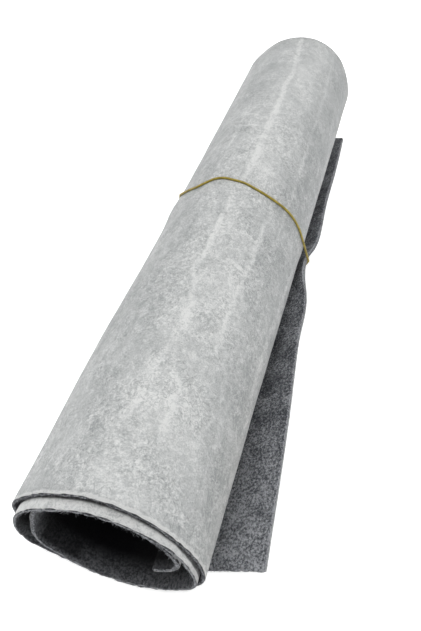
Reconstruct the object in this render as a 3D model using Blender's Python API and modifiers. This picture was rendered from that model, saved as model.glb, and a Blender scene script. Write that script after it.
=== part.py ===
"""Roll of felt: one cut of self-adhesive felt, wound nearly three turns with its release paper
outside, its outer end loose, and held at mid length by a rubber band.

Metres, Z up. The roll's axis runs along Y with its near end at -Y, the loose end lies at +X,
and the origin is on the floor under the middle of the whole.
"""

import math
from collections import namedtuple

import bmesh
import bpy
import numpy as np

MM = 0.001

# Driving sizes, in millimetres
CUT_WIDTH = 450.0  # along the roll
PAPER = 1.0
FELT = 1.2
BETWEEN = 0.3  # from paper to felt
PITCH = 3.0  # from one turn's outer face to the next
AXIS_HEIGHT = 45.5
FLAP_NEAR = 82.0  # the loose end from under the axis to its cut edge, at the near end
FLAP_FAR = 55.0
END_NEAR = 985.0  # degrees wound at the inner cut edge
END_FAR = 1045.0
CURL_NEAR = 15.0  # how far the inner edge curls in towards the axis
CURL_FAR = 4.0
CURL_DEGREES = 30.0
BAND_ALONG = 225.0  # from the near end
BAND_WIRE = 1.5
BAND_CLEARANCE = 0.35
BAND_WAIST = 16.0  # how far along the roll the band's squeeze spreads
BAND_SQUEEZE = 0.022  # share of the radius
BAND_LIFT = 2.5  # the roll arches over the band where it passes beneath

# One row for each direction round the roll, in degrees from straight below and up the left side:
# the outer radius at the near end, the band and the far end, then the steps in to the second
# and third turns as the near end shows them
Direction = namedtuple("Direction", "degrees near band far second third")
OUTLINE = (
    Direction(0, 46.2, 46.2, 46.4, 3.0, 3.0),
    Direction(30, 47.4, 47.2, 47.3, 4.5, 3.0),
    Direction(60, 52.6, 49.1, 49.3, 3.0, 7.9),
    Direction(88, 48.8, 47.5, 48.6, 3.8, 8.5),
    Direction(118, 43.1, 43.6, 42.7, 3.0, 3.2),
    Direction(150, 44.4, 43.6, 41.2, 4.5, 3.0),
    Direction(185, 51.4, 43.4, 42.1, 6.2, 3.5),
    Direction(220, 50.5, 42.5, 43.4, 3.2, 3.4),
    Direction(252, 48.8, 41.8, 43.8, 3.0, 3.6),
    Direction(282, 49.3, 48.1, 48.4, 3.0, 5.9),
    Direction(308, 47.5, 49.5, 49.2, 3.0, 3.6),
    Direction(335, 47.1, 47.2, 47.7, 4.6, 3.1),
)
STEP_FROM, STEP_TO = 265.0, 330.0  # where each turn steps in to the next

# How the loose end leaves the floor: its flat run, the radius it bends up on, and its final slope
Flap = namedtuple("Flap", "along flat bend rise")
FLAP = (
    Flap(0, 38.0, 30.0, 31.0),
    Flap(110, 26.5, 35.0, 37.5),
    Flap(200, 15.0, 41.0, 46.0),
    Flap(225, 12.5, 42.0, 66.0),
    Flap(250, 15.0, 41.0, 52.5),
    Flap(330, 24.0, 37.0, 54.0),
    Flap(450, 40.0, 32.0, 28.0),
)

# How far each stretch of the winding has slipped along the axis, away from the near end: at the
# sheet's near edge and at its far edge, where the loose end is cut a little short
Slip = namedtuple("Slip", "wound near far")
SLIP = (
    Slip(-100, 20.0, -9.0),
    Slip(0, 10.0, -2.0),
    Slip(60, 2.5, 0.0),
    Slip(120, -0.5, -0.5),
    Slip(240, -2.8, -1.5),
    Slip(290, -2.2, -2.2),
    Slip(330, -3.3, -3.3),
    Slip(360, -3.2, -3.2),
    Slip(400, -3.9, -3.9),
    Slip(450, -5.2, -5.2),
    Slip(520, -6.2, -6.2),
    Slip(600, -6.4, -6.4),
    Slip(660, -5.2, -5.2),
    Slip(720, -5.0, -5.0),
    Slip(810, -4.1, -4.1),
    Slip(900, -4.7, -4.7),
    Slip(985, -6.9, -6.9),
)

# The rubber band's path: its place along the roll at directions round it
BandPlace = namedtuple("BandPlace", "degrees along")
BAND_PATH = (
    BandPlace(0, 226.0),
    BandPlace(60, 231.0),
    BandPlace(90, 235.0),
    BandPlace(104, 231.5),
    BandPlace(125, 227.4),
    BandPlace(150, 226.6),
    BandPlace(176, 225.6),
    BandPlace(194, 224.0),
    BandPlace(210, 224.8),
    BandPlace(235, 227.8),
    BandPlace(257, 230.5),
    BandPlace(285, 230.5),
    BandPlace(320, 227.0),
)

# Mesh steps
FLAP_STEPS = 9
TURN_STEP = 10.0  # degrees
LAST_FROM = 900.0  # degrees wound where the steps begin to stretch to reach the inner edge
LAST_STEPS = 9
CURL_STEPS = 5
ROW_STEPS = 14
ROW_CROWDING = 0.35  # rows gather at the band
BAND_POINTS = 72
BAND_SIDES = 2  # bevel resolution

COLLECTION = "roll_of_felt"


def column(table, name):
    return np.array([getattr(row, name) for row in table], dtype=float)


def smooth(at, places, values):
    """A curve through values at places, with the slope of each point's neighbours."""
    slopes = np.gradient(values, places)
    at = np.clip(at, places[0], places[-1])
    i = np.clip(np.searchsorted(places, at, side="right") - 1, 0, len(places) - 2)
    width = places[i + 1] - places[i]
    t = (at - places[i]) / width
    rise = values[i + 1] - values[i]
    return (
        values[i] + rise * (3 - 2 * t) * t**2
        + width * (slopes[i] * t * (1 - t) ** 2 - slopes[i + 1] * (1 - t) * t**2)
    )


def round_the_roll(angle, table, name):
    """A table's column read at any direction round the roll."""
    places = column(table, "degrees")
    values = column(table, name)
    places = np.concatenate([places - 360, places, places + 360])
    return smooth(np.mod(angle, 360), places, np.tile(values, 3))


def slipped(wound, row):
    """How far a point of the sheet has slipped along the axis."""
    places = column(SLIP, "wound")
    near, far = smooth(wound, places, column(SLIP, "near")), smooth(wound, places, column(SLIP, "far"))
    return from_near_to_far(row, near, far)


def ease(share):
    share = np.clip(share, 0, 1)
    return share * share * (3 - 2 * share)


def at_band(along):
    """1 at the rubber band, fading to 0 within a few centimetres of it."""
    return np.exp(-(((along - BAND_ALONG) / BAND_WAIST) ** 2))


def towards_band(along):
    return 1 - np.clip(1 - along / BAND_ALONG, 0, 1) ** 2


def towards_far(along):
    return np.clip((along - BAND_ALONG) / (CUT_WIDTH - BAND_ALONG), 0, 1) ** 2


def from_near_to_far(along, near, far):
    return near + (far - near) * np.clip(along / CUT_WIDTH, 0, 1)


def winding(wound, along):
    """The paper's outer face in the roll: x from the axis and z, after so many degrees wound."""
    turn = np.clip(np.floor(wound / 360), 0, 2)
    near = round_the_roll(wound, OUTLINE, "near")
    band = round_the_roll(wound, OUTLINE, "band")
    far = round_the_roll(wound, OUTLINE, "far")
    outer = near + (band - near) * towards_band(along) + (far - band) * towards_far(along)
    loose = 1 - 0.6 * towards_band(along)
    steps = [
        PITCH + (round_the_roll(wound, OUTLINE, "second") - PITCH) * loose,
        PITCH + (round_the_roll(wound, OUTLINE, "third") - PITCH) * loose,
        PITCH,
    ]
    stepping = ease((np.mod(wound, 360) - STEP_FROM) / (STEP_TO - STEP_FROM))
    inset = sum(step * np.clip(turn + stepping - number, 0, 1) for number, step in enumerate(steps))
    end = from_near_to_far(along, END_NEAR, END_FAR)
    curl = np.clip((wound - end) / CURL_DEGREES + 1, 0, 1) ** 2
    radius = (outer - inset) * (1 - BAND_SQUEEZE * at_band(along))
    radius = radius - curl * from_near_to_far(along, CURL_NEAR, CURL_FAR)
    x = -radius * np.sin(np.radians(wound))
    z = AXIS_HEIGHT - radius * np.cos(np.radians(wound))
    return x, np.maximum(z, inset + BAND_LIFT * at_band(along))


def flap(out, along):
    """The loose end: a flat run, a bend and a straight slope, out from under the axis."""
    places = column(FLAP, "along")
    flat = smooth(along, places, column(FLAP, "flat"))
    bend = smooth(along, places, column(FLAP, "bend"))
    rise = np.radians(smooth(along, places, column(FLAP, "rise")))
    turned = np.clip((out - flat) / bend, 0, rise)
    slope = np.maximum(out - flat - bend * rise, 0)
    x = np.minimum(out, flat) + bend * np.sin(turned) + slope * np.cos(rise)
    z = bend * (1 - np.cos(turned)) + slope * np.sin(rise)
    return x, z + BAND_LIFT * at_band(along)


def across(row):
    """One line over the whole sheet, from the outer cut edge in, at a row's place on its width."""
    out = np.linspace(1, 0, FLAP_STEPS + 1)[:-1]
    flap_along = row + slipped(-100 * out, row)
    flap_x, flap_z = flap(out * from_near_to_far(row, FLAP_NEAR, FLAP_FAR), flap_along)
    end = from_near_to_far(row, END_NEAR, END_FAR)
    curl_from = end - CURL_DEGREES
    wound = np.concatenate([
        np.arange(0, LAST_FROM, TURN_STEP),
        np.linspace(LAST_FROM, curl_from, LAST_STEPS, endpoint=False),
        np.linspace(curl_from, end, CURL_STEPS + 1),
    ])
    along = row + slipped(wound, row)
    x, z = winding(wound, along)
    return np.stack(
        [np.concatenate([flap_x, x]), np.concatenate([flap_along, along]), np.concatenate([flap_z, z])],
        axis=1,
    )


def inwards(line):
    """The direction towards the roll's hollow at each point of a line across the sheet."""
    run = np.gradient(line, axis=0)
    side = np.stack([run[:, 2], np.zeros(len(run)), -run[:, 0]], axis=1)
    return side / np.linalg.norm(side, axis=1, keepdims=True)


def rows():
    """Places across the cut's width, closer together at the band."""
    t = np.linspace(-1, 1, ROW_STEPS + 1)
    return CUT_WIDTH / 2 * (1 + ROW_CROWDING * t + (1 - ROW_CROWDING) * t**3)


def sheet_lines(depth):
    """The whole sheet as lines from cut edge to cut edge, at a depth under its outer face."""
    lines = [across(row) for row in rows()]
    return [line + depth * inwards(line) for line in lines]


def new_object(name, data):
    piece = bpy.data.objects.new(name, data)
    bpy.data.collections[COLLECTION].objects.link(piece)
    return piece


def finish(name, colour, roughness):
    material = bpy.data.materials.new(name)
    material.use_nodes = True
    shader = material.node_tree.nodes["Principled BSDF"]
    shader.inputs["Base Color"].default_value = (*colour, 1)
    shader.inputs["Roughness"].default_value = roughness
    return material


def rolled_sheet(name, depth, thickness, material, origin):
    """A flat grid rolled up: its face lies at a depth under the roll's outer face."""
    lines = sheet_lines(depth)
    steps = len(lines[0]) - 1
    sheet = bmesh.new()
    bmesh.ops.create_grid(sheet, x_segments=steps, y_segments=ROW_STEPS, size=0.5)
    for vertex in sheet.verts:
        line = lines[round((vertex.co.y + 0.5) * ROW_STEPS)]
        point = line[round((vertex.co.x + 0.5) * steps)]
        vertex.co = (point - origin) * MM
    mesh = bpy.data.meshes.new(name)
    sheet.to_mesh(mesh)
    sheet.free()
    mesh.shade_smooth()
    mesh.materials.append(material)
    piece = new_object(name, mesh)
    wall = piece.modifiers.new("Thickness", "SOLIDIFY")
    wall.thickness = thickness * MM
    wall.offset = -1
    wall.use_even_offset = True
    return piece


def cut_through(lines, along):
    """Where lines across a sheet meet a plane across the roll: x and z, column by column."""
    return np.array([
        [np.interp(along, place[:, 1], place[:, 0]), np.interp(along, place[:, 1], place[:, 2])]
        for place in np.stack(lines, axis=1)
    ])


def farthest(lines, along, direction):
    """The point of a cut through the roll that reaches farthest in a direction."""
    held = cut_through(lines, along)
    return held[np.argmax(held @ direction)]


def band_path():
    """The band is taut, so it meets roll and loose end only where they reach farthest."""
    lines = [
        np.concatenate(faces) for faces in zip(sheet_lines(0.0), sheet_lines(PAPER + BETWEEN + FELT))
    ]
    path = []
    for angle in np.linspace(0, 2 * math.pi, BAND_POINTS, endpoint=False):
        direction = np.array([math.cos(angle), math.sin(angle)])
        across_roll, up = farthest(lines, BAND_ALONG, direction)
        degrees = math.degrees(math.atan2(-across_roll, AXIS_HEIGHT - up))
        along = round_the_roll(degrees, BAND_PATH, "along")
        across_roll, up = farthest(lines, along, direction) + direction * (BAND_CLEARANCE + BAND_WIRE / 2)
        path.append((across_roll, along, up))
    return np.array(path)


def rubber_band(name, material, origin):
    path = (band_path() - origin) * MM
    curve = bpy.data.curves.new(name, "CURVE")
    curve.dimensions = "3D"
    curve.bevel_depth = BAND_WIRE / 2 * MM
    curve.bevel_resolution = BAND_SIDES
    spline = curve.splines.new("POLY")
    spline.points.add(BAND_POINTS - 1)
    for point, place in zip(spline.points, path):
        point.co = (*place, 1)
    spline.use_cyclic_u = True
    curve.materials.append(material)
    return new_object(name, curve)


def middle_of_the_floor():
    """The point under the middle of everything, in the roll's own millimetres."""
    points = np.concatenate(sheet_lines(0.0))
    low, high = points.min(axis=0), points.max(axis=0)
    return np.array([(low[0] + high[0]) / 2, (low[1] + high[1]) / 2, 0.0])


def main():
    for old in list(bpy.data.objects):
        bpy.data.objects.remove(old, do_unlink=True)
    bpy.context.scene.collection.children.link(bpy.data.collections.new(COLLECTION))
    origin = middle_of_the_floor()
    felt = finish("felt", (0.075, 0.078, 0.085), 0.95)
    paper = finish("release paper", (0.56, 0.57, 0.57), 0.6)
    rubber = finish("rubber", (0.33, 0.24, 0.05), 0.5)
    rolled_sheet("release_paper", 0.0, PAPER, paper, origin)
    rolled_sheet("felt_sheet", PAPER + BETWEEN, FELT, felt, origin)
    rubber_band("rubber_band", rubber, origin)


main()
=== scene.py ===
"""The looks of a roll of self-adhesive felt: dark heather felt wound nearly three turns with its
mottled release paper outside, its outer end loose, held at mid length by a rubber band.
"""

import math
from collections import namedtuple

import bmesh
import bpy
import numpy as np
from bpy.props import FloatProperty, FloatVectorProperty, IntProperty, PointerProperty
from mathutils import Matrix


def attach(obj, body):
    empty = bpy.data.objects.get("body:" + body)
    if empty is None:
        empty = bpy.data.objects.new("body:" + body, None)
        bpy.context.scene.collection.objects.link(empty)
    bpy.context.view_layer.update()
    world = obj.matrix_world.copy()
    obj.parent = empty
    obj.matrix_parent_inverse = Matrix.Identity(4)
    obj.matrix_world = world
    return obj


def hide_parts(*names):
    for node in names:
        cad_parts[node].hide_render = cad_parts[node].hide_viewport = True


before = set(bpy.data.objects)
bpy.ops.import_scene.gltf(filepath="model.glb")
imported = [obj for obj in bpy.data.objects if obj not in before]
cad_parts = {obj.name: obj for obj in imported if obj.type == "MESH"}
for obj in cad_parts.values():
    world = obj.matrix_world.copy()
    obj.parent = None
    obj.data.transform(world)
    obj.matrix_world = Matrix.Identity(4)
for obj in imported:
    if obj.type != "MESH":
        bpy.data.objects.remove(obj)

bl_info = {
    "name": "Roll of felt",
    "version": (1, 0, 0),
    "blender": (4, 5, 0),
    "location": "3D View > Sidebar > Roll of felt",
    "description": "Felt, release paper, rubber band and fuzz for a roll of self-adhesive felt",
    "category": "Object",
}

MM = 0.001

# The roll's own sizes, in millimetres, as the source of its solids has them
CUT_WIDTH = 450.0
PITCH = 3.0
AXIS_HEIGHT = 45.5
FLAP_NEAR = 82.0
FLAP_FAR = 55.0
END_NEAR = 985.0
END_FAR = 1045.0
CURL_NEAR = 15.0
CURL_FAR = 4.0
CURL_DEGREES = 30.0
BAND_ALONG = 225.0
BAND_CLEARANCE = 0.1
BAND_WAIST = 16.0
BAND_SQUEEZE = 0.004
BAND_LIFT = 2.5
TIGHTER_AT_BAND = 0.6
INNER_FACE = 2.35  # the felt's inner face, below the paper's outer face
FLOOR_MIDDLE = (13.627, 221.581, 0.0)  # where the CAD has its origin

Direction = namedtuple("Direction", "degrees near band far second third")
OUTLINE = (
    Direction(0, 46.2, 46.2, 46.4, 3.0, 3.0),
    Direction(30, 47.4, 47.2, 47.3, 4.5, 3.0),
    Direction(60, 52.6, 49.1, 49.3, 3.0, 7.9),
    Direction(88, 48.8, 47.5, 48.6, 3.8, 8.5),
    Direction(118, 43.1, 43.6, 42.7, 3.0, 3.2),
    Direction(150, 44.4, 43.6, 41.2, 4.5, 3.0),
    Direction(185, 51.4, 43.4, 42.1, 6.2, 3.5),
    Direction(220, 50.5, 42.8, 43.4, 3.2, 3.4),
    Direction(252, 48.8, 44.4, 44.4, 3.0, 3.6),
    Direction(282, 49.3, 48.8, 48.4, 3.0, 5.9),
    Direction(308, 47.5, 49.5, 49.2, 3.0, 3.6),
    Direction(335, 47.1, 47.2, 47.7, 4.6, 3.1),
)
STEP_FROM, STEP_TO = 265.0, 330.0

Flap = namedtuple("Flap", "along flat bend rise")
FLAP = (
    Flap(0, 38.0, 30.0, 31.0),
    Flap(110, 26.5, 35.0, 39.5),
    Flap(160, 20.5, 38.0, 47.0),
    Flap(200, 15.0, 41.0, 47.0),
    Flap(226, 12.5, 42.0, 74.0),
    Flap(250, 15.0, 41.0, 52.5),
    Flap(330, 24.0, 37.0, 54.0),
    Flap(450, 40.0, 32.0, 28.0),
)

Slip = namedtuple("Slip", "wound near far")
SLIP = (
    Slip(-100, 18.6, -9.0),
    Slip(0, 9.4, -2.0),
    Slip(60, 2.5, 0.0),
    Slip(120, -0.5, -0.5),
    Slip(240, -2.8, -1.5),
    Slip(290, -2.2, -2.2),
    Slip(330, -4.4, -3.3),
    Slip(360, -4.4, -3.2),
    Slip(400, -4.4, -3.9),
    Slip(450, -5.2, -5.2),
    Slip(520, -6.2, -6.2),
    Slip(600, -6.4, -6.4),
    Slip(660, -5.2, -5.2),
    Slip(720, -5.0, -5.0),
    Slip(810, -4.1, -4.1),
    Slip(900, -4.7, -4.7),
    Slip(985, -6.9, -6.9),
)

# How much deeper the band cuts into the roll at directions round it
Pinch = namedtuple("Pinch", "degrees depth")
PINCHES = (
    Pinch(0, 0.6), Pinch(50, 0.3), Pinch(85, -0.4), Pinch(105, 0.1), Pinch(135, 1.1), Pinch(180, 1.1),
    Pinch(225, 1.0), Pinch(255, -0.4), Pinch(285, -0.5), Pinch(310, 0.4), Pinch(335, 0.6),
)
PINCH_REACH = 8.0

# Places where the roll swells out: along it and round it, with how far each swelling spreads
Swell = namedtuple("Swell", "along reach degrees spread height")
SWELLS = (
    Swell(92, 55, 97, 33, 1.5),
    Swell(222, 13, 97, 22, 1.5),
)

# The rubber band's path: its place along the roll at directions round it
BandPlace = namedtuple("BandPlace", "degrees along")
BAND_PATH = (
    BandPlace(0, 226.0),
    BandPlace(60, 240.0),
    BandPlace(90, 246.5),
    BandPlace(102, 237.3),
    BandPlace(110, 232.5),
    BandPlace(117, 230.0),
    BandPlace(124, 228.2),
    BandPlace(133, 226.0),
    BandPlace(142, 226.6),
    BandPlace(152, 228.5),
    BandPlace(159, 228.6),
    BandPlace(170, 226.8),
    BandPlace(181, 225.8),
    BandPlace(190, 224.3),
    BandPlace(201, 224.1),
    BandPlace(212, 225.0),
    BandPlace(224, 226.6),
    BandPlace(243, 227.9),
    BandPlace(261, 228.4),
    BandPlace(285, 229.5),
    BandPlace(320, 227.0),
)

# Mesh steps
FLAP_STEPS = 38
TURN_STEP = 3.0  # degrees
LAST_FROM = 900.0
LAST_STEPS = 34
CURL_STEPS = 12
ROW_STEPS = 96
ROW_CROWDING = 0.7
BAND_POINTS = 180
BAND_SIDES = 5
PRESSED_TO = 760.0  # degrees wound: the cut edges are pressed up to there
NOMINAL_RADIUS = 46.0  # turns degrees wound into millimetres for the patterns

# Unevenness of the sheet, in millimetres
WAVES = 16
WAVE_LENGTHS = (14.0, 70.0)
WAVE_HEIGHT = 0.16
EDGE_WANDER = 0.3

# A pale line that runs along the roll: its direction, width and strength at places along it
Streak = namedtuple("Streak", "along degrees width strength")
STREAKS = (
    (
        Streak(30, 175.0, 2.6, 0.0), Streak(45, 175.0, 3.0, 0.7), Streak(68, 175.0, 3.0, 0.7),
        Streak(80, 178.0, 2.6, 0.5), Streak(98, 181.0, 3.4, 1.0), Streak(112, 181.0, 3.2, 0.9),
        Streak(126, 177.0, 2.8, 0.7), Streak(142, 172.5, 3.0, 0.8), Streak(155, 174.5, 3.0, 1.0),
        Streak(215, 175.0, 3.0, 1.0), Streak(226, 177.0, 2.4, 0.4), Streak(250, 180.0, 3.4, 1.1),
        Streak(277, 179.0, 3.4, 1.2), Streak(337, 179.0, 3.4, 1.3), Streak(360, 177.0, 3.2, 1.2),
        Streak(380, 180.0, 3.0, 1.2), Streak(400, 177.5, 3.0, 1.0), Streak(440, 172.0, 3.6, 1.0),
        Streak(470, 172.0, 3.6, 0.8),
    ),
    (
        Streak(85, 206.5, 2.0, 0.0), Streak(98, 207.0, 2.6, 0.8), Streak(125, 208.0, 2.6, 0.7),
        Streak(140, 208.0, 2.4, 0.6), Streak(158, 210.0, 2.8, 0.9), Streak(198, 210.0, 2.8, 0.9),
        Streak(215, 212.0, 2.4, 0.0),
    ),
    (
        Streak(40, 229.0, 2.0, 0.0), Streak(52, 229.0, 2.4, 0.5), Streak(65, 229.0, 2.4, 0.5),
        Streak(80, 228.0, 2.0, 0.0), Streak(130, 227.0, 2.0, 0.1), Streak(145, 227.0, 2.4, 0.6),
        Streak(160, 227.0, 2.0, 0.1), Streak(204, 226.0, 2.2, 0.6), Streak(224, 227.0, 2.2, 0.6),
        Streak(333, 224.0, 2.4, 0.6), Streak(393, 222.0, 2.2, 0.5), Streak(427, 217.0, 2.2, 0.5),
        Streak(450, 217.0, 2.0, 0.1),
    ),
    (
        Streak(40, 250.0, 3.4, 0.0), Streak(52, 251.0, 4.0, 0.6), Streak(60, 257.0, 4.0, 0.6),
        Streak(85, 260.0, 4.0, 0.7), Streak(97, 255.0, 4.0, 0.7), Streak(135, 255.0, 4.0, 0.7),
        Streak(150, 259.0, 3.4, 0.7), Streak(195, 262.0, 3.0, 0.7), Streak(212, 262.0, 3.0, 0.0),
    ),
    (
        Streak(225, 149.0, 1.4, 0.0), Streak(240, 149.0, 1.8, 0.6), Streak(262, 150.0, 1.8, 0.6),
        Streak(330, 149.0, 1.6, 0.4), Streak(345, 149.0, 1.4, 0.0),
    ),
    (
        Streak(28, 195.0, 2.0, 0.0), Streak(36, 195.0, 2.4, 0.7), Streak(64, 195.0, 2.4, 0.7),
        Streak(74, 186.0, 2.2, 0.4), Streak(84, 184.0, 2.4, 0.6), Streak(92, 184.0, 2.0, 0.0),
    ),
    (
        Streak(284, 212.0, 4.0, 0.0), Streak(292, 212.0, 6.0, 0.7), Streak(302, 212.0, 6.0, 0.7),
        Streak(310, 212.0, 4.0, 0.0),
    ),
)

# A pale line across the roll: its place along it, its two ends and its width
Crease = namedtuple("Crease", "along from_degrees to_degrees width strength")
CREASES = (
    Crease(297, 150, 173, 1.8, 0.7),
    Crease(182, 190, 212, 2.2, 0.7),
    Crease(155, 176, 210, 2.4, 0.7),
    Crease(200, 225, 262, 2.0, 0.6),
    Crease(215, 98, 132, 1.8, 0.5),
    Crease(72, 115, 149, 2.2, 0.6),
    Crease(69, 177, 193, 2.2, 0.5),
    Crease(107, 130, 152, 1.8, 0.5),
)


def column(table, name):
    return np.array([getattr(row, name) for row in table], dtype=float)


def smooth(at, places, values):
    """A curve through values at places, with the slope of each point's neighbours."""
    slopes = np.gradient(values, places)
    at = np.clip(at, places[0], places[-1])
    i = np.clip(np.searchsorted(places, at, side="right") - 1, 0, len(places) - 2)
    width = places[i + 1] - places[i]
    t = (at - places[i]) / width
    rise = values[i + 1] - values[i]
    return (
        values[i] + rise * (3 - 2 * t) * t**2
        + width * (slopes[i] * t * (1 - t) ** 2 - slopes[i + 1] * (1 - t) * t**2)
    )


def round_the_roll(angle, table, name):
    """A table's column read at any direction round the roll."""
    places = column(table, "degrees")
    values = column(table, name)
    places = np.concatenate([places - 360, places, places + 360])
    return smooth(np.mod(angle, 360), places, np.tile(values, 3))


def slipped(wound, row):
    """How far a point of the sheet has slipped along the axis."""
    places = column(SLIP, "wound")
    near, far = smooth(wound, places, column(SLIP, "near")), smooth(wound, places, column(SLIP, "far"))
    return from_near_to_far(row, near, far)


def ease(share):
    share = np.clip(share, 0, 1)
    return share * share * (3 - 2 * share)


def at_band(along):
    """1 at the rubber band, fading to 0 within a few centimetres of it."""
    return np.exp(-(((along - BAND_ALONG) / BAND_WAIST) ** 2))


def towards_band(along):
    return 1 - np.clip(1 - along / BAND_ALONG, 0, 1) ** 2


def towards_far(along):
    return np.clip((along - BAND_ALONG) / (CUT_WIDTH - BAND_ALONG), 0, 1) ** 2


def from_near_to_far(along, near, far):
    return near + (far - near) * np.clip(along / CUT_WIDTH, 0, 1)


def winding(wound, along):
    """The paper's outer face in the roll: x from the axis and z, after so many degrees wound."""
    turn = np.clip(np.floor(wound / 360), 0, 2)
    near = round_the_roll(wound, OUTLINE, "near")
    band = round_the_roll(wound, OUTLINE, "band")
    far = round_the_roll(wound, OUTLINE, "far")
    outer = near + (band - near) * towards_band(along) + (far - band) * towards_far(along)
    loose = 1 - TIGHTER_AT_BAND * towards_band(along)
    steps = [
        PITCH + (round_the_roll(wound, OUTLINE, "second") - PITCH) * loose,
        PITCH + (round_the_roll(wound, OUTLINE, "third") - PITCH) * loose,
        PITCH,
    ]
    stepping = ease((np.mod(wound, 360) - STEP_FROM) / (STEP_TO - STEP_FROM))
    inset = sum(step * np.clip(turn + stepping - number, 0, 1) for number, step in enumerate(steps))
    end = from_near_to_far(along, END_NEAR, END_FAR)
    curl = np.clip((wound - end) / CURL_DEGREES + 1, 0, 1) ** 2
    radius = (outer - inset) * (1 - BAND_SQUEEZE * at_band(along))
    off = (along - round_the_roll(wound, BAND_PATH, "along")) / PINCH_REACH
    radius = radius - round_the_roll(wound, PINCHES, "depth") * np.exp(-off * off)
    for swell in SWELLS:
        off = (along - swell.along) / swell.reach
        turned = (np.mod(wound - swell.degrees + 180, 360) - 180) / swell.spread
        radius = radius + swell.height * np.exp(-off * off - turned * turned)
    radius = radius - curl * from_near_to_far(along, CURL_NEAR, CURL_FAR)
    x = -radius * np.sin(np.radians(wound))
    z = AXIS_HEIGHT - radius * np.cos(np.radians(wound))
    return x, np.maximum(z, inset + BAND_LIFT * at_band(along))


def flap(out, along):
    """The loose end: a flat run, a bend and a straight slope, out from under the axis."""
    places = column(FLAP, "along")
    flat = smooth(along, places, column(FLAP, "flat"))
    bend = smooth(along, places, column(FLAP, "bend"))
    rise = np.radians(smooth(along, places, column(FLAP, "rise")))
    turned = np.clip((out - flat) / bend, 0, rise)
    slope = np.maximum(out - flat - bend * rise, 0)
    x = np.minimum(out, flat) + bend * np.sin(turned) + slope * np.cos(rise)
    z = bend * (1 - np.cos(turned)) + slope * np.sin(rise)
    return x, z + BAND_LIFT * at_band(along)


def waves(seed, first, second):
    """Soft unevenness between -1 and 1 over a surface: long ripples in many directions."""
    draw = np.random.default_rng(seed)
    total = np.zeros(np.broadcast(first, second).shape)
    for _ in range(WAVES):
        length = draw.uniform(*WAVE_LENGTHS)
        heading = draw.uniform(0, math.pi)
        phase = draw.uniform(0, 2 * math.pi)
        reach = first * math.cos(heading) + second * math.sin(heading)
        total += np.sin(2 * math.pi * reach / length + phase)
    return total / WAVES * 2


class Line:
    """One line over the whole sheet, from the outer cut edge in, at a row's place on its width."""

    def __init__(self, row, overhang=0.0):
        length = from_near_to_far(row, FLAP_NEAR, FLAP_FAR)
        out = np.linspace(1 + overhang / length, 0, FLAP_STEPS + 1)[:-1]
        flap_along = row + slipped(-100 * out, row)
        flap_x, flap_z = flap(out * length, flap_along)
        end = from_near_to_far(row, END_NEAR, END_FAR)
        curl_from = end - CURL_DEGREES
        wound = np.concatenate([
            np.arange(0, LAST_FROM, TURN_STEP),
            np.linspace(LAST_FROM, curl_from, LAST_STEPS, endpoint=False),
            np.linspace(curl_from, end, CURL_STEPS + 1),
        ])
        along = row + slipped(wound, row)
        x, z = winding(wound, along)
        self.run = np.concatenate([-out * length, np.radians(wound) * NOMINAL_RADIUS])
        along = np.concatenate([flap_along, along])
        self.across = np.full(len(along), row)
        self.along = along + EDGE_WANDER * waves(3, self.run, along * 0.2)
        points = np.stack([np.concatenate([flap_x, x]), self.along, np.concatenate([flap_z, z])], axis=1)
        run = np.gradient(points, axis=0)
        side = np.stack([run[:, 2], np.zeros(len(run)), -run[:, 0]], axis=1)
        self.inwards = side / np.linalg.norm(side, axis=1, keepdims=True)
        lift = WAVE_HEIGHT * (waves(5, self.run, self.along) + 1)
        self.points = points + lift[:, None] * self.inwards

    def at(self, depth):
        return self.points + depth * self.inwards


def rows():
    """Places across the cut's width, a little closer together at the band."""
    t = np.linspace(-1, 1, ROW_STEPS + 1)
    return CUT_WIDTH / 2 * (1 + ROW_CROWDING * t + (1 - ROW_CROWDING) * t**3)


def sheet_lines(overhang=0.0):
    return [Line(row, overhang) for row in rows()]


def on_the_path(place):
    """Where one line along the roll meets the band's path: x, along and z."""
    along = BAND_ALONG
    for _ in range(3):
        across_roll = np.interp(along, place[:, 1], place[:, 0])
        up = np.interp(along, place[:, 1], place[:, 2])
        degrees = math.degrees(math.atan2(-across_roll, AXIS_HEIGHT - up))
        along = round_the_roll(degrees, BAND_PATH, "along")
    return across_roll, along, up


def band_path(radius):
    """The band is taut, so it meets roll and loose end only where they reach farthest."""
    lines = [np.concatenate([line.at(0.0), line.at(INNER_FACE)]) for line in sheet_lines()]
    columns = [place for place in np.stack(lines, axis=1) if np.ptp(place[:, 1]) > 1]
    met = np.array([on_the_path(place) for place in columns])
    path = []
    for angle in np.linspace(0, 2 * math.pi, BAND_POINTS, endpoint=False):
        direction = np.array([math.cos(angle), 0.0, math.sin(angle)])
        path.append(met[np.argmax(met @ direction)] + direction * (BAND_CLEARANCE + radius))
    return np.array(path)


def wound_in_metres(*degrees):
    """How far along the flat cut so many degrees wound are, for the patterns."""
    return [math.radians(angle) * NOMINAL_RADIUS * MM for angle in degrees]


def wound_between(run, first, last, low=0.0, high=1.0):
    """Rises from low to high where the sheet is wound from first to last, in degrees."""
    return run.between(*wound_in_metres(first, last), low, high)


def new_object(name, data):
    piece = bpy.data.objects.new(name, data)
    bpy.context.scene.collection.objects.link(piece)
    return piece


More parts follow.
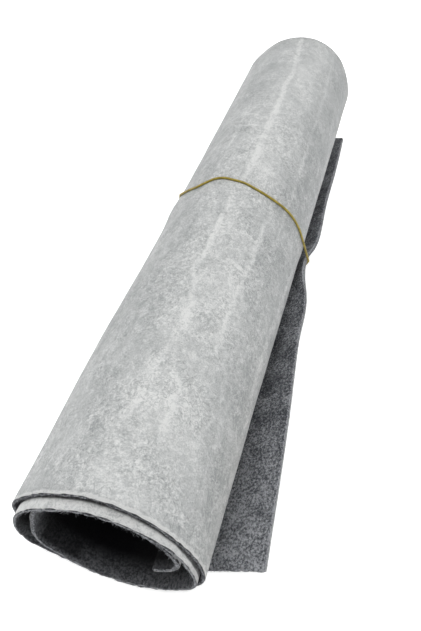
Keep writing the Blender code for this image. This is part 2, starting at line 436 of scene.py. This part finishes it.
class Signal:
    """A number that a material works out point by point. Maths on it adds Math nodes."""

    def __init__(self, shading, socket):
        self.shading = shading
        self.socket = socket

    def maths(self, operation, *inputs):
        settings = {"operation": operation}
        return self.shading.node("ShaderNodeMath", settings, dict(enumerate(inputs)))

    def __add__(self, other):
        return self.maths("ADD", self, other)

    def __radd__(self, other):
        return self.maths("ADD", other, self)

    def __sub__(self, other):
        return self.maths("SUBTRACT", self, other)

    def __rsub__(self, other):
        return self.maths("SUBTRACT", other, self)

    def __mul__(self, other):
        return self.maths("MULTIPLY", self, other)

    def __rmul__(self, other):
        return self.maths("MULTIPLY", other, self)

    def __truediv__(self, other):
        return self.maths("DIVIDE", self, other)

    def __rtruediv__(self, other):
        return self.maths("DIVIDE", other, self)

    def __abs__(self):
        return self.maths("ABSOLUTE", self)

    def at_least(self, other):
        return self.maths("MAXIMUM", self, other)

    def at_most(self, other):
        return self.maths("MINIMUM", self, other)

    def between(self, low, high, out_low=0.0, out_high=1.0):
        """Rises smoothly from out_low to out_high as the signal goes from low to high."""
        sockets = {"Value": self, "From Min": low, "From Max": high, "To Min": out_low, "To Max": out_high}
        return self.shading.node("ShaderNodeMapRange", {"interpolation_type": "SMOOTHSTEP"}, sockets)


class Shading:
    """Builds nodes in the tree of a material or of the surroundings, round its main shader."""

    def __init__(self, owner, shader, constants):
        owner.use_nodes = True
        self.tree = owner.node_tree
        self.shader = self.tree.nodes[shader]
        for socket, value in constants.items():
            self.shader.inputs[socket].default_value = value

    def plug(self, value, socket):
        if isinstance(value, Signal):
            self.tree.links.new(value.socket, socket)
        elif isinstance(value, tuple) and len(value) == 3 and len(socket.default_value) == 4:
            socket.default_value = (*value, 1.0)
        else:
            socket.default_value = value

    def node(self, kind, settings=None, sockets=None, output=0):
        """Adds a node: its settings first, then its sockets. Stops and points fill ramps and curves."""
        made = self.tree.nodes.new(kind)
        for name, value in (settings or {}).items():
            if name == "stops":
                for element, (position, colour) in zip(stops_of(made, len(value)), value):
                    element.position = position
                    element.color = (*colour, 1.0)
            elif name == "points":
                fill_curve(made, value)
            else:
                setattr(made, name, value)
        for name, value in (sockets or {}).items():
            self.plug(value, made.inputs[name])
        return Signal(self, made.outputs[output])

    def set(self, socket, value):
        self.plug(value, self.shader.inputs[socket])

    def flat_place(self):
        """Where a point lies on the flat cut: along its length and across it, in metres."""
        flat = self.node("ShaderNodeUVMap", {"uv_map": "unrolled"})
        parts = self.node("ShaderNodeSeparateXYZ", None, {0: flat}).socket.node
        return Signal(self, parts.outputs[0]), Signal(self, parts.outputs[1])

    def noise(self, place, scale, detail=2.0, roughness=0.5, distortion=0.0):
        sockets = {"Vector": place, "Scale": scale, "Detail": detail, "Roughness": roughness,
                   "Distortion": distortion}
        return self.node("ShaderNodeTexNoise", None, sockets)

    def stretched(self, place, scale, turn=(0.0, 0.0, 0.0)):
        sockets = {"Vector": place, "Scale": scale, "Rotation": turn}
        return self.node("ShaderNodeMapping", None, sockets)

    def colours(self, signal, *stops):
        return self.node("ShaderNodeValToRGB", {"stops": stops}, {0: signal})

    def mixed(self, factor, first, second, blend="MIX"):
        settings = {"data_type": "RGBA", "blend_type": blend}
        return self.node("ShaderNodeMix", settings, {0: factor, 6: first, 7: second}, output=2)

    def bump(self, height, distance, strength=1.0):
        sockets = {"Height": height, "Distance": distance, "Strength": strength}
        self.set("Normal", self.node("ShaderNodeBump", None, sockets))


class Finish(Shading):
    """Builds one material."""

    def __init__(self, name, constants):
        self.material = bpy.data.materials.new(name)
        super().__init__(self.material, "Principled BSDF", constants)


def stops_of(ramp, count):
    elements = ramp.color_ramp.elements
    while len(elements) < count:
        elements.new(1.0)
    return elements


def fill_curve(node, points):
    curve = node.mapping.curves[0]
    while len(curve.points) < len(points):
        curve.points.new(0.5, 0.5)
    for point, (x, y) in zip(curve.points, points):
        point.location = (x, y)
        point.handle_type = "VECTOR"
    node.mapping.update()


def felt_finish(settings, name="felt", cut=0.0):
    """Heather felt: matted fibres in three greys, soft and matt, with painted light towards the roll's
    near end and painted shade inside the roll.
    """
    felt = Finish(name, {
        "Roughness": 0.95, "Specular IOR Level": 0.08, "Sheen Weight": 0.05, "Sheen Roughness": 0.5,
    })
    place = felt.node("ShaderNodeTexCoord", output=3)
    run, across = felt.flat_place()
    strands = []
    for number, turn in enumerate(((0.0, 0.3, 0.5), (0.4, 0.9, 1.7), (1.1, -0.4, 2.6), (0.7, 0.2, -0.6))):
        lying = felt.stretched(place, (1.0, 0.16, 1.0), turn)
        strand = felt.noise(lying, 2300.0 + 300 * number, 1.0, 0.5, 0.4)
        strands.append(1 - abs(strand - 0.5) * 16)
    fibre = strands[0].at_least(strands[1]).at_least(strands[2].at_least(strands[3])).at_least(0)
    fleck = felt.noise(place, 780.0, 3.0, 0.7)
    cloud = felt.noise(place, 95.0, 3.0, 0.55)
    # Painted light: the felt is made lighter within 12 cm of the roll's near end.
    near = across.between(0.12, 0.0)
    tone = 0.45 + (fleck - 0.5) * 2.2 + (cloud - 0.5) * 0.85 + (fibre - 0.4) * 0.4 + near * 0.17
    if cut:
        lint = felt.noise(place, 1500.0, 2.0, 0.7)
        free_edge = run.between(-0.04, -0.052)
        tone = tone + wound_between(run, 300, 340, -cut * 0.4, cut) + (lint - 0.5) * 2.2
        tone = tone - wound_between(run, 780, 800) * 0.2 + free_edge * 0.35
    colour = felt.colours(
        tone,
        (0.0, tuple(settings.dark)),
        (0.52, tuple(settings.middle)),
        (1.0, tuple(settings.light)),
    )
    if not cut:
        # Painted shade inside the roll: the felt goes towards the near-black painted shade colour further
        # into the bore, less on the lit third turn's left wall, more on the curl and on the second turn's
        # left, and strongly on the lower left.
        painted_deep_shade = across.at_most(CUT_WIDTH * MM - across).between(-0.004, 0.015)
        third_left = wound_between(run, 785, 800) - wound_between(run, 850, 880)
        curled = wound_between(run, 925, 950)
        second_left = wound_between(run, 415, 440) - wound_between(run, 490, 520)
        third_below = wound_between(run, 715, 750) - wound_between(run, 778, 790)
        lit = third_left - curled * 1.2 - second_left * 1.3
        inside = run.between(0.03, 0.06) * (0.5 + painted_deep_shade * 0.5) * (1 - lit * 0.3)
        painted_shade = (third_below + second_left) * across.between(-0.002, 0.003) * 0.92
        colour = felt.mixed(1 - inside.at_least(painted_shade), tuple(settings.painted_deep_shade), colour)
    felt.set("Base Color", colour)
    felt.bump(fibre * 0.5 + fleck + cloud * 0.6, 0.0006, 0.6)
    return felt.material


def paper_finish(settings):
    """Pale release paper stuck on dark felt: mottled where it clings, with paler lifted lines, painted
    light and shade round the roll, partly painted light on the second turn and painted shade under the
    outer turn.
    """
    paper = Finish("release_paper", {"Specular IOR Level": 0.35})
    unrolled = paper.node("ShaderNodeUVMap", {"uv_map": "unrolled"})
    run, along = paper.flat_place()

    wander = (paper.noise(unrolled, 110.0, 3.0, 0.6) - 0.5) * 0.006
    frayed = paper.noise(unrolled, 420.0, 3.0, 0.7)
    pale = paper.node("ShaderNodeValue")
    pale.socket.default_value = 0.0
    for streak in STREAKS:
        first, last = streak[0].along, streak[-1].along
        share = (along - first * MM) / ((last - first) * MM)

        def read(values):
            low, high = min(values), max(values) + 1e-6
            points = [((s.along - first) / (last - first), (v - low) / (high - low))
                      for s, v in zip(streak, values)]
            curve = paper.node("ShaderNodeFloatCurve", {"points": points}, {"Factor": 1.0, "Value": share})
            return curve * (high - low) + low

        middle = read(wound_in_metres(*(s.degrees for s in streak)))
        half = read([s.width / 2 * MM for s in streak])
        strength = read([s.strength for s in streak])
        off = abs(run + wander - middle) / half
        line = off.between(2.0, 0.4) * strength
        inside = (along * 1000).between(first, first + 1) * (along * 1000).between(last, last - 1)
        pale = pale + line * inside
    for crease in CREASES:
        ends = wound_in_metres(crease.from_degrees, crease.to_degrees)
        off = abs(along + wander - crease.along * MM) / (crease.width / 2 * MM)
        within = run.between(ends[0] - 0.002, ends[0] + 0.004)
        within = within * run.between(ends[1] + 0.002, ends[1] - 0.004)
        pale = pale + off.between(2.2, 0.3) * within * crease.strength
    broken = paper.noise(unrolled, 85.0, 2.0, 0.6)
    pale = pale.at_most(1.0) * frayed.between(0.36, 0.56, 0.35, 1.0) * broken.between(0.32, 0.52, 0.5, 1.0)

    grain = paper.noise(unrolled, 1500.0, 2.0, 0.6)
    thick_worms = abs(paper.noise(unrolled, 290.0, 2.5, 0.55, 1.6) - 0.5).between(0.06, 0.0)
    thin_worms = abs(paper.noise(unrolled, 330.0, 0.6, 0.5, 1.1) - 0.5).between(0.1, 0.01)
    pale_worms = abs(paper.noise(unrolled, 260.0, 0.6, 0.5, 1.2) - 0.5).between(0.08, 0.01)
    flakes = paper.noise(unrolled, 430.0, 3.0, 0.65, 0.5)
    veins = abs(paper.noise(unrolled, 105.0, 4.0, 0.6, 1.0) - 0.5).between(0.05, 0.01)
    veins = veins * paper.noise(unrolled, 45.0, 2.0).between(0.42, 0.58)
    blobs = paper.noise(paper.stretched(unrolled, (1.0, 0.8, 1.0)), 170.0, 3.0, 0.6)
    patches = paper.noise(paper.stretched(unrolled, (1.0, 0.5, 1.0)), 60.0, 3.0, 0.6)
    broad = paper.noise(paper.stretched(unrolled, (1.0, 0.35, 1.0)), 16.0, 2.0, 0.5)
    soft = along.between(0.25, 0.4)
    grainy = along.between(0.0, 0.15, 0.9, 1.2) - soft * 0.65
    flaky = along.between(0.02, 0.12, 0.85, 1.15) - soft * 0.25
    clinging = wound_between(run, 180, 192) * wound_between(run, 232, 212)
    clinging = clinging * along.between(0.14, 0.18) * along.between(0.235, 0.222)
    worms = thick_worms * 0.15 + thin_worms * 0.25 - pale_worms * 0.2
    lively = paper.noise(unrolled, 42.0, 2.0).between(0.38, 0.62, 0.6, 1.25)
    # The second turn's paper shows only as a strip below the outer turn's cut edge; its much lighter tone
    # is partly paler, smoother paper and partly painted light.
    second_turn = wound_between(run, 385, 420)
    near_cut = wound_between(run, 385, 365) * along.between(0.0022, 0.0009)
    # Painted light and shade round the roll: the paper is made lighter on the upper left and darker on the
    # upper right and on the right side.
    painted_light_upper_left = wound_between(run, 125, 190)
    painted_shade_upper_right = wound_between(run, 200, 245)
    painted_shade_right_side = wound_between(run, 264, 276) * wound_between(run, 350, 330)
    tone = (
        0.36 + (grain - 0.5) * grainy - worms * lively * (1 - soft * 0.5) * (1 - pale * 0.5)
        + (flakes - 0.5) * flaky * 0.62 + (blobs - 0.5) * flaky * 0.62
        + (patches - 0.5) * 0.7 + (broad - 0.5) * 0.5 + pale * 0.33 + veins * 0.2
        + second_turn * 0.65 + near_cut * 0.5 + painted_light_upper_left * 0.34 - painted_shade_upper_right * 0.42
        - clinging * 0.14 - along.between(0.15, 0.28) * 0.06 - painted_shade_right_side * 0.1
    )
    colour = paper.colours(
        tone,
        (0.0, tuple(settings.dark)),
        (0.5, tuple(settings.middle)),
        (1.0, tuple(settings.pale)),
    )
    warm = wound_between(run, 215, 265) - wound_between(run, 330, 350)
    warm = warm * along.between(0.2, 0.05) * 0.6
    colour = paper.mixed(warm, colour, (1.0, 0.985, 0.955), "MULTIPLY")
    # Painted shade: the second turn's paper goes to the painted shade colour under the outer turn's cut
    # edge, and about halfway to it from 590 degrees wound on, where the strip turns away.
    lip = wound_between(run, 440, 600, 0.0059, 0.0044)
    lip = lip - wound_between(run, 555, 605) * 0.0018
    painted_shade_under_turn = (along - lip).between(-0.001, 0.0002) * second_turn
    painted_shade_under_turn = painted_shade_under_turn.at_least(wound_between(run, 590, 635) * 0.5)
    paper.set("Base Color", paper.mixed(painted_shade_under_turn * 0.95, colour, tuple(settings.painted_shade)))
    paper.set("Roughness", 0.4 + grain * 0.25)
    paper.bump(grain * 0.5 + blobs - thick_worms * 0.5 + patches * 1.6 + pale * 0.6, 0.00035, 0.6)
    return paper.material


def rubber_finish(settings):
    """Ochre rubber with a faint bloom."""
    rubber = Finish("rubber", {"Roughness": 0.42, "Specular IOR Level": 0.45})
    place = rubber.node("ShaderNodeTexCoord", output=3)
    bloom = rubber.noise(place, 260.0, 3.0, 0.6)
    light = tuple(min(1.0, c * 1.5 + 0.01) for c in settings.colour)
    dark = tuple(c * 0.7 for c in settings.colour)
    rubber.set("Base Color", rubber.colours(bloom, (0.3, dark), (0.7, light)))
    rubber.bump(rubber.noise(place, 1500.0, 2.0), 0.00008, 0.5)
    return rubber.material


def plain_finish(name, colour, roughness, glow):
    glowing = {"Emission Color": (1.0, 1.0, 1.0, 1.0), "Emission Strength": glow}
    plain = Finish(name, {"Roughness": roughness, **glowing})
    place = plain.node("ShaderNodeTexCoord", output=3)
    grain = plain.noise(place, 8.0, 2.0)
    paler = tuple(min(1.0, c * 1.01) for c in colour)
    plain.set("Base Color", plain.colours(grain, (0.3, tuple(colour)), (0.7, paler)))
    return plain.material


def rolled_sheet(name, depth, thickness, overhang=0.0, fray=0.0, pressed=0.0):
    """A flat grid rolled up, with the flat cut kept as its UV map, in metres.

    Pressed is the share of its thickness that the sheet loses at the roll's two ends.
    """
    lines = sheet_lines(overhang)
    steps = len(lines[0].points) - 1
    sheet = bmesh.new()
    bmesh.ops.create_grid(sheet, x_segments=steps, y_segments=ROW_STEPS, size=0.5)
    sheet.verts.ensure_lookup_table()
    origin = np.array(FLOOR_MIDDLE)
    placed = np.array([line.at(depth) for line in lines])
    draw = np.random.default_rng(7)
    placed[0, :, 1] -= fray * draw.uniform(0, 1, steps + 1) ** 2
    placed[-1, :, 1] += fray * draw.uniform(0, 1, steps + 1) ** 2
    flat = np.array([np.stack([line.run, line.across], axis=1) for line in lines]) * MM
    unrolled = sheet.loops.layers.uv.new("unrolled")
    index = {}
    for vertex in sheet.verts:
        index[vertex] = (round((vertex.co.y + 0.5) * ROW_STEPS), round((vertex.co.x + 0.5) * steps))
    for vertex, (row, step) in index.items():
        vertex.co = (placed[row, step] - origin) * MM
    for face in sheet.faces:
        for loop in face.loops:
            loop[unrolled].uv = flat[index[loop.vert]]
    mesh = bpy.data.meshes.new(name)
    sheet.to_mesh(mesh)
    sheet.free()
    mesh.shade_smooth()
    piece = new_object(name, mesh)
    full = piece.vertex_groups.new(name="full thickness")
    loose_turn = wound_in_metres(PRESSED_TO)[0]
    for number, (row, step) in enumerate(index.values()):
        at_a_cut = row in (0, ROW_STEPS) and flat[row, step, 0] < loose_turn
        full.add([number], 1 - pressed * at_a_cut, "REPLACE")
    wall = piece.modifiers.new("Thickness", "SOLIDIFY")
    wall.thickness = thickness * MM
    wall.offset = -1
    wall.vertex_group = full.name
    return piece


class FeltSettings(bpy.types.PropertyGroup):
    depth: FloatProperty(
        name="Depth", description="Where the felt begins, under the roll's outer face",
        default=0.2 * MM, subtype="DISTANCE", unit="LENGTH",
    )
    thickness: FloatProperty(
        name="Thickness", description="The felt's thickness", default=2.15 * MM,
        subtype="DISTANCE", unit="LENGTH",
    )
    rounding: FloatProperty(
        name="Rounding", description="How far the cut edges are rounded", default=0.45 * MM,
        subtype="DISTANCE", unit="LENGTH",
    )
    pressed: FloatProperty(
        name="Pressed cut", description="The share of its thickness that the felt loses at the cut edges",
        default=0.38, min=0, max=0.9,
    )
    fray: FloatProperty(
        name="Fray", description="How far the felt stands out past the paper's cut edges, here and there",
        default=0.7 * MM, subtype="DISTANCE", unit="LENGTH",
    )
    # Painted shade: the near-black colour painted on the felt inside the roll, in place of the shade
    # there.
    painted_deep_shade: FloatVectorProperty(
        name="Inside the roll", description="Colour of the felt inside the roll, where no light reaches",
        size=3, subtype="COLOR", default=(0.002, 0.002, 0.003), min=0, max=1,
    )
    dark: FloatVectorProperty(
        name="Dark fibres", description="Colour of the darkest fibres", size=3,
        subtype="COLOR", default=(0.012, 0.013, 0.016), min=0, max=1,
    )
    middle: FloatVectorProperty(
        name="Main fibres", description="Colour of most fibres", size=3,
        subtype="COLOR", default=(0.095, 0.1, 0.11), min=0, max=1,
    )
    light: FloatVectorProperty(
        name="Light fibres", description="Colour of the lightest fibres", size=3,
        subtype="COLOR", default=(0.4, 0.41, 0.43), min=0, max=1,
    )


class PaperSettings(bpy.types.PropertyGroup):
    thickness: FloatProperty(
        name="Thickness", description="The release paper's thickness", default=0.15 * MM,
        subtype="DISTANCE", unit="LENGTH",
    )
    overhang: FloatProperty(
        name="Overhang", description="How far the paper stands past the felt's cut edges",
        default=0.4 * MM, subtype="DISTANCE", unit="LENGTH",
    )
    # Painted shade: the colour painted on the paper between the turns, under the outer turn's cut edge.
    painted_shade: FloatVectorProperty(
        name="Paper inside", description="Colour of the paper between the turns", size=3,
        subtype="COLOR", default=(0.02, 0.02, 0.022), min=0, max=1,
    )
    nicks: FloatProperty(
        name="Nicks", description="How far the paper's cut edges fall short of the felt, here and there",
        default=0.5 * MM, subtype="DISTANCE", unit="LENGTH",
    )
    dark: FloatVectorProperty(
        name="Clinging paper", description="Colour where the paper clings to the felt", size=3,
        subtype="COLOR", default=(0.29, 0.303, 0.305), min=0, max=1,
    )
    middle: FloatVectorProperty(
        name="Paper", description="Colour of most of the paper", size=3,
        subtype="COLOR", default=(0.49, 0.503, 0.502), min=0, max=1,
    )
    pale: FloatVectorProperty(
        name="Lifted paper", description="Colour where the paper stands off the felt", size=3,
        subtype="COLOR", default=(0.72, 0.727, 0.718), min=0, max=1,
    )


class BandSettings(bpy.types.PropertyGroup):
    wire: FloatProperty(
        name="Thickness", description="The rubber band's thickness", default=1.5 * MM,
        subtype="DISTANCE", unit="LENGTH",
    )
    colour: FloatVectorProperty(
        name="Colour", description="Colour of the rubber", size=3,
        subtype="COLOR", default=(0.29, 0.222, 0.03), min=0, max=1,
    )


class FuzzSettings(bpy.types.PropertyGroup):
    on_edges: IntProperty(
        name="Fibres at the edges", description="How many loose fibres stand out of the cut edges",
        default=3600, min=0, max=6000,
    )
    on_faces: IntProperty(
        name="Fibres on the face", description="How many loose fibres stand on the loose end's face",
        default=1400, min=0, max=6000,
    )
    length: FloatProperty(
        name="Length", description="The longest fibre that stands out", default=1.6 * MM,
        subtype="DISTANCE", unit="LENGTH",
    )
    thickness: FloatProperty(
        name="Thickness", description="A fibre's thickness", default=0.1 * MM,
        subtype="DISTANCE", unit="LENGTH",
    )
    colour: FloatVectorProperty(
        name="Colour", description="Colour of the loose fibres", size=3,
        subtype="COLOR", default=(0.22, 0.225, 0.235), min=0, max=1,
    )


class StageSettings(bpy.types.PropertyGroup):
    camera_place: FloatVectorProperty(
        name="Camera", description="Where the camera stands", size=3, subtype="TRANSLATION",
        unit="LENGTH", default=(0.035559, -0.3087, 0.328501),
    )
    camera_turn: FloatVectorProperty(
        name="Camera turn", description="The camera's turn about X, Y and Z", size=3,
        subtype="EULER", unit="ROTATION",
        default=(math.radians(39.7285), math.radians(-5.4564), math.radians(17.0873)),
    )
    lens: FloatProperty(
        name="Lens", description="Focal length on a 36 mm sensor, in millimetres", default=34.23,
    )
    floor: FloatVectorProperty(
        name="Floor", description="Colour of the floor", size=3, subtype="COLOR",
        default=(0.93, 0.93, 0.93), min=0, max=1,
    )
    top: FloatProperty(
        name="Light from above", description="Brightness of the soft light from above",
        default=3.6, min=0,
    )
    side: FloatProperty(
        name="Light from the sides", description="Brightness of the soft light from the sides",
        default=0.18, min=0,
    )
    glow: FloatProperty(
        name="Floor's own light", description="How much the floor shines by itself", default=0.5, min=0,
    )
    horizon: FloatProperty(
        name="Backdrop", description="Brightness of the backdrop round the floor", default=0.6, min=0,
    )
    lean: FloatVectorProperty(
        name="Lean", description="Direction that the light from above comes from", size=3,
        subtype="DIRECTION", default=(-0.08, -0.06, 0.99),
    )


class ROLL_OT_felt(bpy.types.Operator):
    """Make the rolled felt"""

    bl_idname = "roll.felt"
    bl_label = "Felt"

    def execute(self, context):
        settings = context.scene.roll_felt
        felt = rolled_sheet(
            "felt", settings.depth / MM, settings.thickness / MM,
            fray=settings.fray / MM, pressed=settings.pressed,
        )
        felt.data.materials.append(felt_finish(settings))
        felt.data.materials.append(felt_finish(settings, "cut_felt", 0.12))
        felt.modifiers["Thickness"].material_offset_rim = 1
        edge = felt.modifiers.new("Rounded cut", "BEVEL")
        edge.width = settings.rounding
        edge.segments = 2
        edge.limit_method = "ANGLE"
        edge.angle_limit = math.radians(60)
        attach(felt, "root")
        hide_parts("felt_sheet")
        return {"FINISHED"}


class ROLL_OT_paper(bpy.types.Operator):
    """Make the release paper outside the felt"""

    bl_idname = "roll.paper"
    bl_label = "Release paper"

    def execute(self, context):
        settings = context.scene.roll_paper
        paper = rolled_sheet(
            "paper", 0.0, settings.thickness / MM, settings.overhang / MM, fray=-settings.nicks / MM,
        )
        paper.data.materials.append(paper_finish(settings))
        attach(paper, "root")
        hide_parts("release_paper")
        return {"FINISHED"}


class ROLL_OT_band(bpy.types.Operator):
    """Make the rubber band round the roll and its loose end"""

    bl_idname = "roll.band"
    bl_label = "Rubber band"

    def execute(self, context):
        settings = context.scene.roll_band
        radius = settings.wire / 2 / MM
        curve = bpy.data.curves.new("band", "CURVE")
        curve.dimensions = "3D"
        curve.bevel_depth = settings.wire / 2
        curve.bevel_resolution = BAND_SIDES
        spline = curve.splines.new("POLY")
        spline.points.add(BAND_POINTS - 1)
        path = (band_path(radius) - FLOOR_MIDDLE) * MM
        for point, place in zip(spline.points, path):
            point.co = (*place, 1)
        spline.use_cyclic_u = True
        curve.materials.append(rubber_finish(settings))
        band = new_object("band", curve)
        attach(band, "root")
        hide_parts("rubber_band")
        return {"FINISHED"}


class ROLL_OT_fuzz(bpy.types.Operator):
    """Make the loose fibres that stand out of the felt"""

    bl_idname = "roll.fuzz"
    bl_label = "Fuzz"

    def execute(self, context):
        settings = context.scene.roll_fuzz
        felt = context.scene.roll_felt
        draw = np.random.default_rng(11)
        lines = sheet_lines()
        curve = bpy.data.curves.new("fuzz", "CURVE")
        curve.dimensions = "3D"
        curve.bevel_depth = settings.thickness / 2
        curve.bevel_resolution = 0
        curve.use_fill_caps = True
        origin = np.array(FLOOR_MIDDLE)
        top = felt.depth / MM
        thick = felt.thickness / MM
        longest = settings.length / MM

        def strand(root, outwards, length):
            lean = draw.normal(0, 0.55, 3)
            first = outwards + lean
            first = first / np.linalg.norm(first)
            second = first + draw.normal(0, 0.6, 3)
            second = second / np.linalg.norm(second)
            spline = curve.splines.new("POLY")
            spline.points.add(3)
            places = (root - first * 0.2, root + first * length * 0.35)
            places += (places[1] + (first + second) / 2 * length * 0.35,)
            places += (places[2] + second * length * 0.3,)
            for point, place, radius in zip(spline.points, places, (1.0, 1.0, 0.8, 0.35)):
                above_floor = np.maximum(place, (-np.inf, -np.inf, settings.thickness / MM))
                point.co = (*((above_floor - origin) * MM), 1)
                point.radius = radius

        edges = ((lines[0], (0, -1, 0)), (lines[-1], (0, 1, 0)))
        for number in range(settings.on_edges):
            depth = top + thick * draw.uniform(0.05, 0.95)
            length = longest * draw.uniform(0.3, 1.0) ** 2 + 0.25
            pick = draw.uniform(0, 1)
            if pick < 0.76:
                line, outwards = edges[0] if pick < 0.5 else edges[1]
                step = draw.uniform(0, len(line.points) - 1.001)
                before = int(step)
                ends = line.at(depth)[before:before + 2]
                root = ends[0] + (ends[1] - ends[0]) * (step - before)
            else:
                row = draw.uniform(0, len(lines) - 1.001)
                before = int(row)
                end, beside = (0, 1) if pick < 0.94 else (-1, -2)
                here, there = lines[before].at(depth), lines[before + 1].at(depth)
                root = here[end] + (there[end] - here[end]) * (row - before)
                outwards = here[end] - here[beside]
                outwards = outwards / np.linalg.norm(outwards)
            strand(root, np.array(outwards, dtype=float), length)
        for number in range(settings.on_faces):
            line = lines[draw.integers(0, len(lines))]
            step = draw.integers(0, FLAP_STEPS)
            root = line.at(top + thick)[step]
            strand(root, line.inwards[step], longest * 0.5 * draw.uniform(0.2, 1.0) + 0.1)
        shading = Finish("fuzz", {"Roughness": 0.9, "Specular IOR Level": 0.2})
        place = shading.node("ShaderNodeTexCoord", output=3)
        tone = shading.noise(place, 700.0, 1.0)
        dark = tuple(c * 0.35 for c in settings.colour)
        light = tuple(min(1, c * 1.8) for c in settings.colour)
        shading.set("Base Color", shading.colours(tone, (0.35, dark), (0.65, light)))
        curve.materials.append(shading.material)
        fuzz = new_object("fuzz", curve)
        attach(fuzz, "root")
        return {"FINISHED"}


class ROLL_OT_stage(bpy.types.Operator):
    """Set the camera, the pale floor and the soft light"""

    bl_idname = "roll.stage"
    bl_label = "Stage"

    def execute(self, context):
        settings = context.scene.roll_stage
        scene = context.scene
        camera = new_object("camera", bpy.data.cameras.new("camera"))
        camera.data.lens = settings.lens
        camera.data.clip_start = 0.01
        camera.location = settings.camera_place
        camera.rotation_euler = settings.camera_turn
        scene.camera = camera

        ground = bmesh.new()
        bmesh.ops.create_grid(ground, x_segments=8, y_segments=8, size=4.0)
        mesh = bpy.data.meshes.new("floor")
        ground.to_mesh(mesh)
        ground.free()
        mesh.materials.append(plain_finish("floor", tuple(settings.floor), 0.9, settings.glow))
        new_object("floor", mesh)

        world = bpy.data.worlds.new("surroundings")
        sky = Shading(world, "Background", {"Strength": 1.0})
        direction = sky.node("ShaderNodeTexCoord", output=0)
        sockets = {0: direction, 1: tuple(settings.lean)}
        height = sky.node("ShaderNodeVectorMath", {"operation": "DOT_PRODUCT"}, sockets, output=1)
        low = height.between(0.02, 0.2, settings.horizon, settings.side)
        sky.set("Color", low + height.between(0.76, 0.95, 0.0, settings.top - settings.side))
        scene.world = world
        scene.view_settings.view_transform = "Standard"
        return {"FINISHED"}


OPERATORS = (ROLL_OT_stage, ROLL_OT_felt, ROLL_OT_paper, ROLL_OT_band, ROLL_OT_fuzz)


class ROLL_PT_sidebar(bpy.types.Panel):
    """The pieces of the roll of felt"""

    bl_idname = "ROLL_PT_sidebar"
    bl_label = "Roll of felt"
    bl_space_type = "VIEW_3D"
    bl_region_type = "UI"
    bl_category = "Roll of felt"

    def draw(self, context):
        for operator in OPERATORS:
            self.layout.operator(operator.bl_idname)


SETTINGS = {
    "roll_felt": FeltSettings,
    "roll_paper": PaperSettings,
    "roll_band": BandSettings,
    "roll_fuzz": FuzzSettings,
    "roll_stage": StageSettings,
}


def register():
    for made in (*SETTINGS.values(), *OPERATORS, ROLL_PT_sidebar):
        bpy.utils.register_class(made)
    for name, group in SETTINGS.items():
        setattr(bpy.types.Scene, name, PointerProperty(type=group))


def unregister():
    for name in SETTINGS:
        delattr(bpy.types.Scene, name)
    for made in reversed((*SETTINGS.values(), *OPERATORS, ROLL_PT_sidebar)):
        bpy.utils.unregister_class(made)


def main():
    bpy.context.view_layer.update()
    register()
    for operator in OPERATORS:
        group, name = operator.bl_idname.split(".")
        getattr(getattr(bpy.ops, group), name)()


if __name__ == "__main__":
    main()
